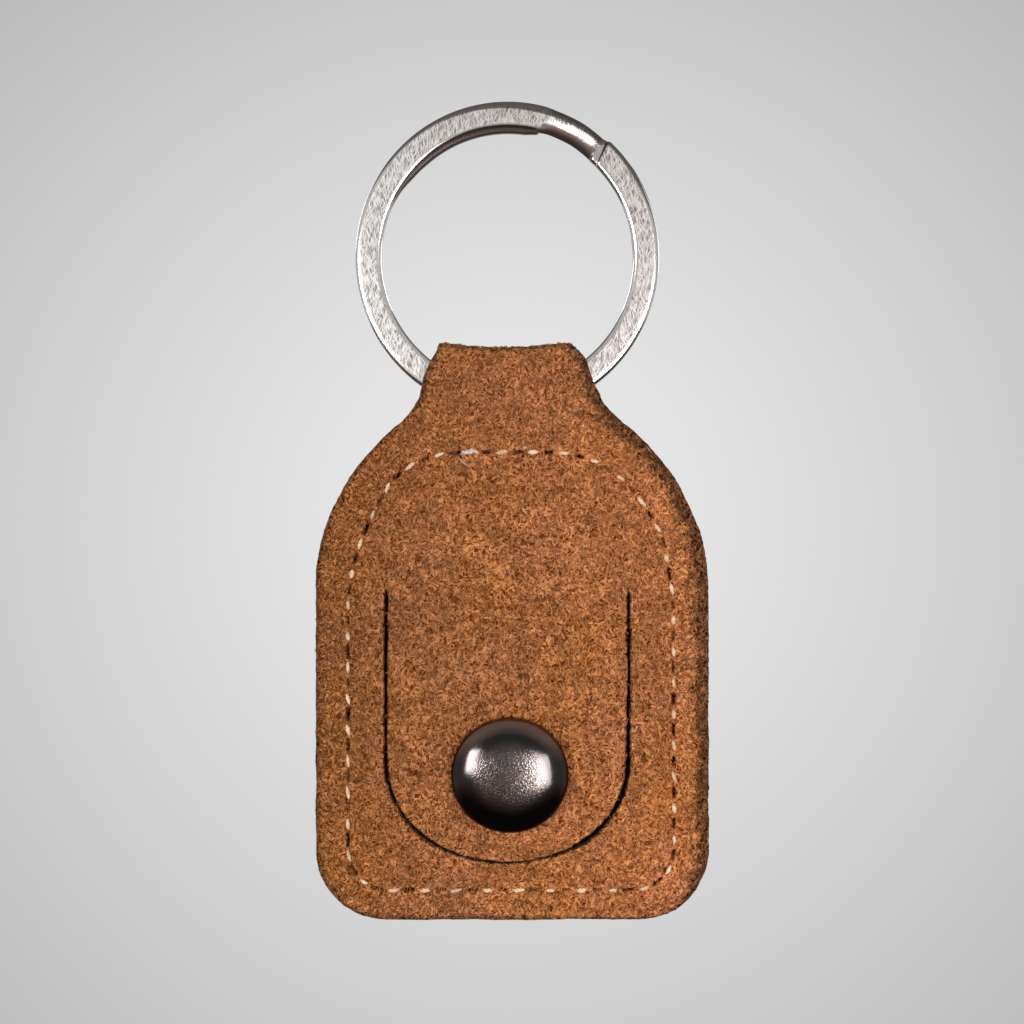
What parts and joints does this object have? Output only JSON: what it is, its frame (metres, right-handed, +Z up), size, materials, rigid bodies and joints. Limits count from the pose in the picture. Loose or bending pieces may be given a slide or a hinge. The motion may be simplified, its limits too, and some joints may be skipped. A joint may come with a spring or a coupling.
{
  "type": "coin holder keychain",
  "caption": "Suede key fob folded over a flat split ring, with a stitched coin pocket closed by a U-shaped tongue and a domed press stud.",
  "frame": {"origin": "the point at the top of the ring's inner wall, halfway through its thickness, where a hook or peg carries it", "axes": "+Z up with the fob hanging, the front with the press-stud cap faces -Y, +X to the right seen from the front"},
  "size_m": [0.0412, 0.0095, 0.0866],
  "materials": {
    "ring_steel": "nickel-plated spring steel, tumbled so that fine scratches run every way",
    "suede": "split leather with the rough flesh side out, warm mid brown with short loose fibres and darker cut edges",
    "thread": "cream twisted polyester thread",
    "snap_gunmetal": "gunmetal-plated brass, glossy with a very fine grain",
    "snap_nickel": "nickel-plated brass"
  },
  "bodies": {
    "ring": {"split_ring": "ring_steel"},
    "loop": {"ring_loop": "suede"},
    "pouch": {"front_panel": "suede", "back_panel": "suede", "needle_thread": "thread", "bobbin_thread": "thread", "snap_stud": "snap_nickel", "stud_post": "snap_gunmetal"},
    "tongue": {"flap_tongue": "suede", "snap_cap": "snap_gunmetal", "snap_socket": "snap_nickel", "socket_spring": "snap_nickel"}
  },
  "joints": [
    {"name": "ring_turn", "type": "hinge", "parent": "ring", "child": "loop", "pos_m": [0, 0, -0.0133], "axis": [0, 1, 0], "continuous": true},
    {"name": "neck_flex", "type": "hinge", "parent": "loop", "child": "pouch", "pos_m": [0.0004, 0, -0.0331], "axis": [1, 0, 0], "range_deg": [-60, 60]},
    {"name": "flap_lift", "type": "hinge", "parent": "pouch", "child": "tongue", "pos_m": [0, -0.00282, -0.049], "axis": [-1, 0, 0], "range_deg": [0, 135]}
  ]
}
